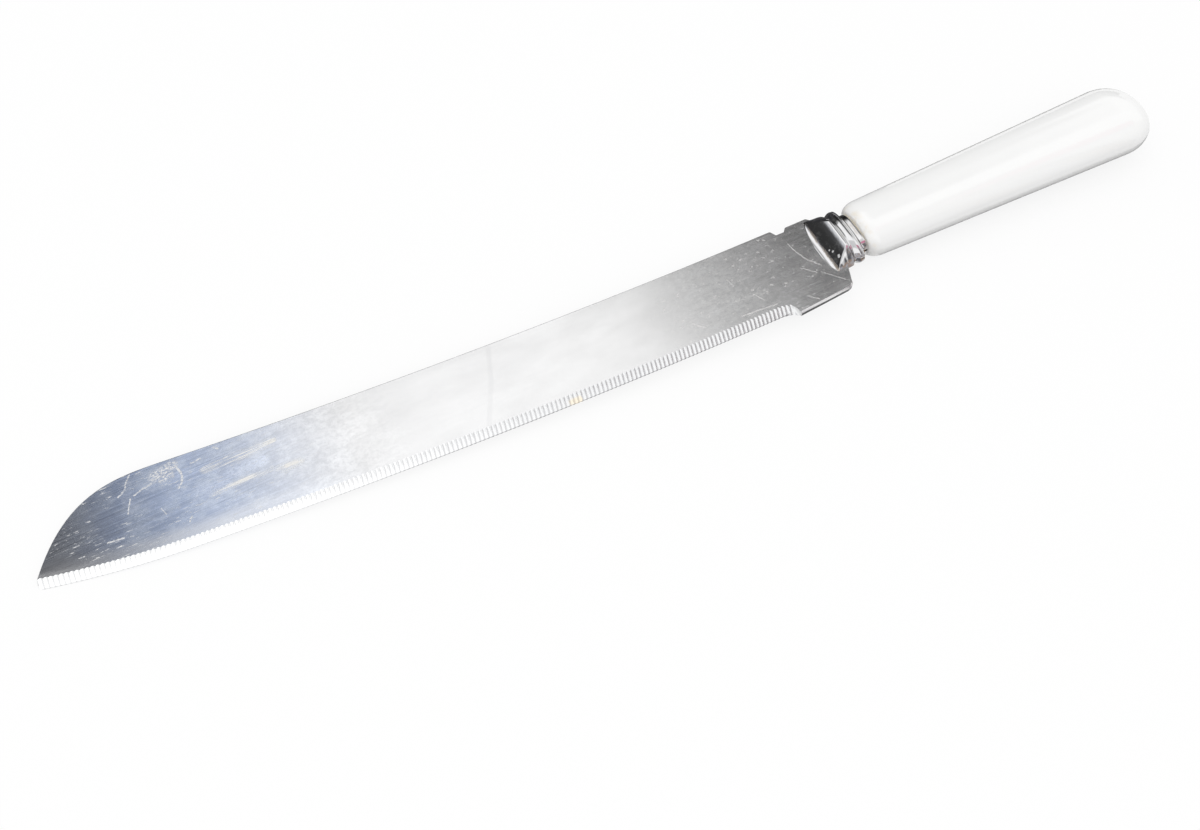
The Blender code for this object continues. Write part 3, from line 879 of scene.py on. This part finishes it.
def brushed_steel():
    """Sheet steel brushed along the blade, scuffed at the tip and lightly scratched at the heel, with
    painted reflections: blue towards the tip, darker at the nose, and a faint line across the middle.
    """
    material, tree, shader = new_material("brushed_steel")
    place = millimetres(tree)
    axes = split(tree, place)
    tip = remap(tree, axes["X"], *TIP_WEAR_AND_REFLECTION)
    fine = noise(tree, place, (0.05, 9.0, 0.0), 3.0)
    broad = noise(tree, place, (0.03, 1.6, 0.0), 3.0)
    grain = add(tree, multiply(tree, fine, 0.65), multiply(tree, broad, 0.35))
    streak = remap(tree, grain, 0.3, 0.7)
    calm = blend(tree, streak, grey(0.64), grey(0.69))
    # Painted reflection: towards the tip the steel is painted dark blue to pale blue, for the surroundings
    # it mirrors
    painted_blue_reflection = blend(tree, streak, (0.30, 0.355, 0.48), (0.68, 0.78, 1.0))
    colour = blend(tree, tip, calm, painted_blue_reflection)
    mottle = noise(tree, place, (0.16, 0.22, 0.0), 5.0, 0.65)
    used = larger(tree, remap(tree, axes["X"], *USED_TIP), remap(tree, axes["X"], *USED_HEEL))
    used = remap(tree, used, 0.0, 1.0, 0.1, 1.0)
    mottled = multiply(tree, remap(tree, mottle, 0.42, 0.62, 0.0, 0.45), used)
    # Towards the tip the pale mottling takes the painted blue reflection
    colour = blend(tree, mottled, colour, blend(tree, tip, (0.77, 0.775, 0.78), (0.82, 0.89, 1.0)))
    wiped = noise(tree, place, (0.6, 0.8, 0.0), 5.0, 0.7)
    smudged = multiply(tree, remap(tree, wiped, 0.58, 0.38, 0.0, 0.38), used)
    # Towards the tip the darker smudges take the painted blue reflection
    colour = blend(tree, smudged, colour, blend(tree, tip, (0.49, 0.495, 0.50), (0.44, 0.51, 0.64)))
    # Painted reflection: the nose is painted darker and greyer, for the dark it mirrors
    nose = remap(tree, axes["X"], *DARK_NOSE, 0.0, 0.75)
    colour = blend(tree, nose, colour, blend(tree, streak, (0.36, 0.365, 0.375), (0.72, 0.725, 0.72)))

    ragged = wobble(tree, wobble(tree, place, 0.9, 0.30), 3.0, 0.12)
    uneven = remap(tree, noise(tree, place, (1.3, 2.2, 0.0), 4.0, 0.7), 0.36, 0.60, 0.15, 0.95)
    speckle = remap(tree, noise(tree, place, (1.1, 1.9, 0.0), 4.0, 0.7), 0.46, 0.60)
    streaky = remap(tree, noise(tree, place, (0.10, 3.6, 0.0), 5.0, 0.65), 0.45, 0.60)
    patchy = remap(tree, noise(tree, place, (0.09, 0.14, 0.0), 3.0), 0.42, 0.58, 0.2, 1.0)
    flecks = remap(tree, noise(tree, place, (0.34, 2.0, 0.0), 4.0, 0.65), 0.57, 0.68)
    dust = remap(tree, noise(tree, place, (0.9, 3.4, 0.0), 4.0, 0.7), 0.57, 0.72, 0.0, 0.55)
    flecks = larger(tree, flecks, dust)
    flecks = multiply(tree, multiply(tree, flecks, patchy), tip)
    scuffs = multiply(tree, strokes(tree, ragged, TIP_SCUFFS), uneven)
    scribble = remap(tree, noise(tree, ragged, (1.4, 2.3, 0.0), 5.0, 0.8), 0.43, 0.60)
    cloudy = multiply(tree, strokes(tree, ragged, TIP_CLOUD), scribble)
    tip_marks = larger(tree, larger(tree, scuffs, cloudy), flecks)
    smears = multiply(tree, strokes(tree, ragged, TIP_SMEARS), streaky)

    specks = remap(tree, noise(tree, place, (0.7, 0.9, 0.0), 4.0, 0.65), 0.56, 0.72, 0.0, 0.4)
    placed = multiply(tree, strokes(tree, ragged, HEEL_SPECKS), 0.4)
    specks = larger(tree, specks, placed)
    dusty = remap(tree, speckle, 0.0, 1.0, 0.0, 0.3)
    haze = multiply(tree, strokes(tree, ragged, HEEL_HAZE), dusty)
    faint = remap(tree, uneven, 0.1, 0.9, 0.2, 0.5)
    scratches = multiply(tree, strokes(tree, ragged, HEEL_SCRATCHES), faint)
    heel_marks = larger(tree, larger(tree, specks, haze), scratches)
    heel_marks = multiply(tree, heel_marks, remap(tree, axes["X"], *MARKED_HEEL))

    # Haze at the tip, its pale blue a painted reflection
    haze_and_blue_sheen = multiply(tree, strokes(tree, ragged, TIP_HAZE_AND_SHEEN), remap(tree, uneven, 0.1, 0.9, 0.0, 0.45))
    colour = blend(tree, haze_and_blue_sheen, colour, (0.78, 0.85, 1.0))
    height = above_edge(tree, axes)
    # Paler up from the edge towards the tip
    paler_by_edge = multiply(tree, remap(tree, height, *PALER_EDGE_HEIGHT), remap(tree, axes["X"], *PALER_EDGE_ALONG))
    colour = blend(tree, multiply(tree, paler_by_edge, 0.55), colour, grey(0.95))
    strip = remap(tree, height, *STRIP_HEIGHT, 0.0, 0.35)
    marks = larger(tree, tip_marks, heel_marks)
    marks = larger(tree, marks, multiply(tree, strip, nose))
    colour = blend(tree, marks, colour, (0.88, 0.87, 0.85))
    colour = blend(tree, smears, colour, (0.93, 0.91, 0.86))
    # Painted reflection: a faint darker line across the blade
    painted_reflected_line = multiply(tree, strokes(tree, ragged, REFLECTED_LINE), 0.14)
    colour = blend(tree, painted_reflected_line, colour, (0.45, 0.45, 0.46))
    pale = larger(tree, marks, smears)

    cloud = noise(tree, place, (0.05, 0.12, 0.0), 3.0)
    rough = add(tree, remap(tree, grain, 0.3, 0.7, 0.15, 0.22), remap(tree, cloud, 0.3, 0.7, 0.0, 0.05))
    rough = add(tree, rough, multiply(tree, pale, 0.2))
    link(tree, shader, base_color=colour, roughness=rough)
    link(tree, shader, metallic=remap(tree, pale, 0.0, 1.0, 1.0, 0.25))
    link(tree, shader, normal=bump(tree, grain, 0.00002, 0.35))
    shader.inputs["Anisotropic"].default_value = 0.5
    around = add_node(tree, "ShaderNodeTangent", direction_type="RADIAL", axis="X")
    link(tree, shader, tangent=around.outputs[0])
    return material


def ground_steel():
    """The flutes, ground across, with painted shade along the edge and one old stain, and painted
    highlights: paler flutes towards the tip and a near-white broken corner on the ricasso.
    """
    material, tree, shader = new_material("ground_steel")
    place = millimetres(tree)
    axes = split(tree, place)
    height = above_edge(tree, axes)
    lines = noise(tree, place, (7.0, 0.8, 0.8), 2.0)
    # Painted highlight: the flutes are painted paler towards the tip
    tip = remap(tree, axes["X"], *PALE_FLUTES)
    near = blend(tree, lines, (0.64, 0.645, 0.65), (0.74, 0.745, 0.75))
    far = blend(tree, lines, (0.79, 0.795, 0.80), (0.87, 0.875, 0.88))
    colour = blend(tree, tip, near, far)
    # Painted highlight: the ricasso's broken corner is painted near white, for the light it catches
    colour = blend(tree, remap(tree, axes["X"], *BROKEN_CORNER), colour, grey(0.93))
    # Painted shade: a thin dark line along the cutting edge
    painted_edge_shade = multiply(tree, remap(tree, height, *EDGE_SHADE_HEIGHT), remap(tree, tip, 0.0, 1.0, 0.85, 0.45))
    painted_edge_shade = multiply(tree, painted_edge_shade, remap(tree, axes["X"], *EDGE_SHADE_ALONG))
    colour = blend(tree, painted_edge_shade, colour, (0.20, 0.20, 0.21))
    stain = strokes(tree, wobble(tree, place, 0.9, 0.5), EDGE_STAIN)
    colour = blend(tree, multiply(tree, stain, 0.42), colour, (0.86, 0.70, 0.42))
    link(tree, shader, base_color=colour)
    link(tree, shader, roughness=remap(tree, lines, 0.3, 0.7, 0.22, 0.32))
    shader.inputs["Metallic"].default_value = 1.0
    return material


def chrome_plate(name):
    """Polished plating with faint ripples, a few pits, tarnish where it can't be wiped, and a painted
    shadow line at the collar's joint.
    """
    material, tree, shader = new_material(name)
    place = millimetres(tree)
    axes = split(tree, place)
    ripple = noise(tree, place, (0.8, 0.5, 0.8), 2.0)
    valley = strokes(tree, wobble(tree, place, 0.8, 0.25), LIP_VALLEY)
    joint = remap(tree, axes["X"], *BOLSTER_JOINT)
    grime = larger(tree, valley, multiply(tree, joint, 0.4))
    grime = multiply(tree, grime, remap(tree, noise(tree, place, (1.2, 0.35, 0.6), 3.0), 0.40, 0.65))
    pits = strokes(tree, wobble(tree, place, 2.5, 0.16), PLATE_PITS)
    colour = blend(tree, ripple, (0.56, 0.56, 0.565), (0.61, 0.61, 0.615))
    colour = blend(tree, multiply(tree, pits, 0.7), colour, grey(0.80))
    colour = blend(tree, multiply(tree, grime, 0.7), colour, (0.42, 0.34, 0.26))
    # Painted shadow: a near-black line at the front of the collar, where the gap to the bolster lies in
    # shade
    painted_joint_shadow = strokes(tree, wobble(tree, place, 0.8, 0.05), COLLAR_JOINT_SHADOW)
    colour = blend(tree, multiply(tree, painted_joint_shadow, 0.75), colour, grey(0.05))
    film = remap(tree, noise(tree, place, (0.45, 0.45, 0.45), 5.0, 0.65), 0.50, 0.72, 0.0, 0.08)
    dulled = larger(tree, film, multiply(tree, pits, 0.5))
    shade = larger(tree, dulled, multiply(tree, grime, 0.3))
    rough = add(tree, remap(tree, ripple, 0.3, 0.7, 0.05, 0.10), shade)
    link(tree, shader, base_color=colour, roughness=rough)
    link(tree, shader, metallic=subtract(tree, 1.0, dulled))
    link(tree, shader, normal=bump(tree, ripple, 0.00006, 0.35))
    return material


def white_moulding():
    """Glossy white plastic, very slightly mottled and yellowed at its mouth."""
    material, tree, shader = new_material("white_moulding")
    place = millimetres(tree)
    axes = split(tree, place)
    mottle = noise(tree, place, (0.12, 0.2, 0.2), 3.0)
    patches = noise(tree, place, (0.35, 0.35, 0.35), 3.0)
    colour = blend(tree, mottle, (0.925, 0.925, 0.92), (0.945, 0.945, 0.94))
    patchy = remap(tree, patches, 0.45, 0.66, 0.05, 0.6)
    mouth = multiply(tree, remap(tree, axes["X"], *HANDLE_MOUTH), patchy)
    colour = blend(tree, mouth, colour, (0.84, 0.76, 0.62))
    link(tree, shader, base_color=colour)
    link(tree, shader, roughness=remap(tree, mottle, 0.3, 0.7, 0.08, 0.13))
    link(tree, shader, normal=bump(tree, patches, 0.00004, 0.15))
    return material


def old_bedding(name):
    """Aged resin, yellowed and matt."""
    material, tree, shader = new_material(name)
    place = millimetres(tree)
    crumbs = noise(tree, place, (0.6, 0.6, 0.6), 4.0)
    link(tree, shader, base_color=blend(tree, crumbs, (0.52, 0.44, 0.30), (0.86, 0.82, 0.70)))
    link(tree, shader, roughness=remap(tree, crumbs, 0.3, 0.7, 0.55, 0.80))
    link(tree, shader, normal=bump(tree, crumbs, 0.0002, 0.4))
    return material


# Studio

FLOOR_SIZE = 6.0
FLOOR_WHITE_SHARE = 0.8
FLOOR_SEEN = grey(0.96)
FLOOR_BOUNCE = grey(0.45)
AMBIENT = 0.92
CARD_HEIGHT = 0.70
CARD_LEFT = -1.40
CARD_RIGHT = 2.40
CARD_NEAR = -0.10
CARD_FAR = 1.30
FAR_CARD_HEIGHT = 0.0008
MAT_HEIGHT = 0.0006
FLAG_LINE = -0.040
OVERHEAD_GAP = 0.002

# Shades of the card over the knife, by x in the frame
CARD_SHADES = [
    (-1.40, grey(0.030)),
    (-0.52, (0.055, 0.055, 0.056)),
    (-0.38, (0.100, 0.100, 0.105)),
    (-0.31, (0.21, 0.21, 0.22)),
    (-0.255, (0.45, 0.46, 0.49)),
    (-0.225, (0.92, 0.94, 0.98)),
    (-0.16, (0.97, 0.98, 1.0)),
    (-0.10, (0.99, 0.99, 1.0)),
    (0.20, grey(1.0)),
    (0.29, grey(0.76)),
    (0.40, grey(0.085)),
    (0.52, grey(0.11)),
    (0.72, grey(0.95)),
    (0.90, grey(1.30)),
    (2.40, grey(1.30)),
]


def seen_or_mirrored(tree):
    """1 for the camera's own rays and for those that metal or glass sends on, else 0."""
    path = add_node(tree, "ShaderNodeLightPath").outputs
    either = larger(tree, path["Is Camera Ray"], path["Is Glossy Ray"])
    return larger(tree, either, path["Is Transmission Ray"])


def make_world():
    """White where it is seen or mirrored, and an even soft light otherwise."""
    world = bpy.data.worlds.new("studio")
    world.use_nodes = True
    tree = world.node_tree
    shown = seen_or_mirrored(tree)
    strength = add_node(tree, "ShaderNodeMapRange", {"Value": shown, "To Min": AMBIENT, "To Max": 1.0})
    background = tree.nodes["Background"]
    background.inputs["Color"].default_value = (1.0, 1.0, 1.0, 1.0)
    tree.links.new(strength.outputs["Result"], background.inputs["Strength"])
    bpy.context.scene.world = world


def level(left, right, near, far, height):
    """The corners of a level rectangle."""
    return [(left, near, height), (right, near, height), (right, far, height), (left, far, height)]


def upright(left, right, y, low, high):
    """The corners of an upright rectangle along the x axis."""
    return [(left, y, low), (right, y, low), (right, y, high), (left, y, high)]


def add_plane(name, corners, material):
    """A plane that belongs to the studio and not to the knife."""
    mesh = bpy.data.meshes.new(name)
    mesh.from_pydata(corners, [], [(0, 1, 2, 3)])
    mesh.materials.append(material)
    plane = bpy.data.objects.new(name, mesh)
    bpy.context.scene.collection.objects.link(plane)
    return plane


def make_floor():
    """A white floor that keeps a faint shadow."""
    material = bpy.data.materials.new("studio_floor")
    material.use_nodes = True
    tree = material.node_tree
    tree.nodes.clear()
    shown = seen_or_mirrored(tree)
    colour = blend(tree, shown, FLOOR_BOUNCE, FLOOR_SEEN)
    matte = add_node(tree, "ShaderNodeBsdfDiffuse", {"Color": colour})
    white = add_node(tree, "ShaderNodeEmission", {"Color": (1.0, 1.0, 1.0, 1.0), "Strength": 1.0})
    share = multiply(tree, shown, FLOOR_WHITE_SHARE)
    mixed = add_node(tree, "ShaderNodeMixShader", {0: share, 1: matte.outputs[0], 2: white.outputs[0]})
    add_node(tree, "ShaderNodeOutputMaterial", {"Surface": mixed.outputs[0]})
    half = FLOOR_SIZE / 2
    add_plane("studio_floor", level(-half, half, -half, half, 0.0), material)


def add_card(name, corners, material):
    """A plane that shows only in the reflections of glossy surfaces."""
    card = add_plane(name, corners, material)
    card.visible_camera = False
    card.visible_diffuse = False
    card.visible_transmission = False
    card.visible_shadow = False


def card_material(name):
    material = bpy.data.materials.new(name)
    material.use_nodes = True
    material.node_tree.nodes.clear()
    return material, material.node_tree


def glow(tree, colour, strength=1.0):
    """Makes a card's material shine with this colour and strength."""
    shine = add_node(tree, "ShaderNodeEmission", {"Color": colour, "Strength": strength})
    add_node(tree, "ShaderNodeOutputMaterial", {"Surface": shine.outputs[0]})


def shaded_card():
    """A card over the knife, which its metal mirrors: from left to right dark, white, dark and white."""
    material, tree = card_material("shaded_card")
    place = add_node(tree, "ShaderNodeTexCoord").outputs["Object"]
    along = split(tree, place)["X"]
    ends = {"Value": along, "From Min": CARD_LEFT, "From Max": CARD_RIGHT}
    share = add_node(tree, "ShaderNodeMapRange", ends)
    ramp = add_node(tree, "ShaderNodeValToRGB", {"Fac": share.outputs["Result"]})
    stops = ramp.color_ramp.elements
    for number, (x, shade) in enumerate(CARD_SHADES):
        position = (x - CARD_LEFT) / (CARD_RIGHT - CARD_LEFT)
        # A new ramp already has two stops
        stop = stops[number] if number < 2 else stops.new(position)
        stop.position = position
        stop.color = (*shade, 1.0)
    near = remap(tree, split(tree, place)["Y"], 0.30, 0.18)
    right = remap(tree, along, 0.20, 0.30)
    colour = blend(tree, multiply(tree, near, right), ramp.outputs["Color"], grey(1.4))
    put_off = remap(tree, along, 0.80, 0.95, 0.0, 0.45)
    fade = remap(tree, subtract(tree, split(tree, place)["Y"], put_off), 0.48, 0.70, 1.0, 0.06)
    glow(tree, colour, fade)
    corners = level(CARD_LEFT, CARD_RIGHT, CARD_NEAR, CARD_FAR, CARD_HEIGHT)
    add_card("shaded_card", corners, material)


def plain_card(name, corners, shade):
    """A card of one shade."""
    material, tree = card_material(name)
    glow(tree, (*shade, 1.0))
    add_card(name, corners, material)


def in_frame(x, y, z):
    return KNIFE @ Vector((x, y, z))


def near_flags():
    """Small flags beside the bolster and the heel, mirrored in patches of grey and brown."""
    material, tree = card_material("near_flag")
    place = millimetres(tree)
    patches = noise(tree, place, (0.03, 0.03, 0.03), 3.0)
    tints = noise(tree, place, (0.04, 0.04, 0.04), 1.0)
    colour = blend(tree, remap(tree, patches, 0.40, 0.60), (0.16, 0.16, 0.17), (0.60, 0.60, 0.64))
    colour = blend(tree, remap(tree, tints, 0.52, 0.64, 0.0, 0.8), colour, (0.50, 0.36, 0.27))
    glow(tree, colour)
    left, near, low = in_frame(0.020, FLAG_LINE, -0.0052)
    right, _, high = in_frame(0.125, FLAG_LINE, 0.10)
    add_card("upright_flag", upright(left, right, near, low, high), material)
    left, _, low = in_frame(-0.030, FLAG_LINE, -0.0052)
    right, _, high = in_frame(0.008, FLAG_LINE, 0.0365)
    add_card("small_flag", upright(left, right, near, low, high), material)
    left, far, low = in_frame(0.004, -0.0112, -0.0050)
    right, _, _ = in_frame(0.020, -0.0112, 0.0)
    add_card("level_flag", level(left, right, near, far, low), material)
    start, far, low = in_frame(-0.022, -0.0168, -0.0046)
    plain_card("heel_flag", level(start, left, near, far, low), grey(0.14))


def overhead_flag():
    """A flag over the bolster, whose near end mirrors it in patches of rose, blue and grey."""
    material, tree = card_material("overhead_flag")
    place = millimetres(tree)
    across = split(tree, place)["Y"]
    spots = noise(tree, place, (0.005, 0.004, 0.0), 1.0)
    rose = multiply(tree, remap(tree, across, -240.0, -180.0), remap(tree, spots, 0.42, 0.56))
    blue = multiply(tree, remap(tree, across, -170.0, -240.0), remap(tree, spots, 0.58, 0.44))
    colour = blend(tree, spots, (0.22, 0.22, 0.24), (0.62, 0.62, 0.65))
    colour = blend(tree, rose, colour, (0.95, 0.36, 0.52))
    colour = blend(tree, blue, colour, (0.80, 0.86, 1.0))
    glow(tree, colour)
    corners = level(0.15, 0.95, -0.30, -0.04, CARD_HEIGHT - OVERHEAD_GAP)
    add_card("overhead_flag", corners, material)


def handle_mat():
    """A dark mat under the handle, whose gloss mirrors it as a thin line round its foot."""
    corners = [(0.0125, -0.0170), (0.114, -0.0200), (0.127, 0.034), (0.032, 0.031)]
    placed = [in_frame(x, y, 0.0) for x, y in corners]
    plain_card("handle_mat", [(point.x, point.y, MAT_HEIGHT) for point in placed], grey(0.02))


def make_cards():
    shaded_card()
    spread = [(-0.5, 0.0105), (0.0827, 0.0105), (0.75, 1.3), (-0.5, 1.3)]
    plain_card("far_card", [(x, y, FAR_CARD_HEIGHT) for x, y in spread], (0.08, 0.08, 0.085))
    plain_card("back_card", upright(-1.4, 2.1, 1.3, 0.0, 0.7), (0.05, 0.05, 0.055))
    plain_card("near_card", upright(-0.5, 0.8, -0.7, 0.0, 0.28), (0.30, 0.29, 0.33))
    handle_mat()
    near_flags()
    overhead_flag()


def add_softbox(name, place, target, size, radiance):
    """An even rectangular lamp of this radiance, facing the target."""
    lamp = bpy.data.lights.new(name, "AREA")
    lamp.shape = "RECTANGLE"
    lamp.size, lamp.size_y = size
    lamp.energy = radiance * math.pi * size[0] * size[1]
    softbox = bpy.data.objects.new(name, lamp)
    bpy.context.scene.collection.objects.link(softbox)
    softbox.location = place
    softbox.rotation_euler = (Vector(target) - place).to_track_quat("-Z", "Y").to_euler()
    softbox.visible_camera = False


def make_lights():
    above = Vector((0.05, 0.33, 0.69))
    add_softbox("back_softbox", above, target=(0.05, 0.33, 0.0), size=(0.36, 0.46), radiance=0.52)
    in_front = Vector((-0.30, -0.60, 0.80))
    add_softbox("front_softbox", in_front, target=(-0.10, 0.0, 0.0), size=(1.10, 0.80), radiance=0.45)


def make_camera():
    """The photograph's camera, solved in the knife's own axes."""
    c, s = math.cos(VIEW_TURN), math.sin(VIEW_TURN)
    right = Vector((c, -s, 0.0))
    flat = math.cos(VIEW_ELEVATION)
    forward = Vector((flat * s, flat * c, -math.sin(VIEW_ELEVATION)))
    up = right.cross(forward)
    turn = Matrix((right, up, -forward)).transposed().to_4x4()
    data = bpy.data.cameras.new("photo_camera")
    data.sensor_width = SENSOR_WIDTH
    data.lens = SENSOR_WIDTH * FOCAL_LENGTH_PX / IMAGE_WIDTH
    data.clip_start = 0.01
    camera = bpy.data.objects.new("photo_camera", data)
    bpy.context.scene.collection.objects.link(camera)
    camera.matrix_world = KNIFE @ Matrix.Translation(CAMERA_PLACE) @ turn
    bpy.context.scene.camera = camera


bpy.context.scene.view_settings.view_transform = "Standard"
make_camera()
make_blade()
make_bolster()
make_collar()
make_handle()
make_bedding()
make_world()
make_floor()
make_cards()
make_lights()
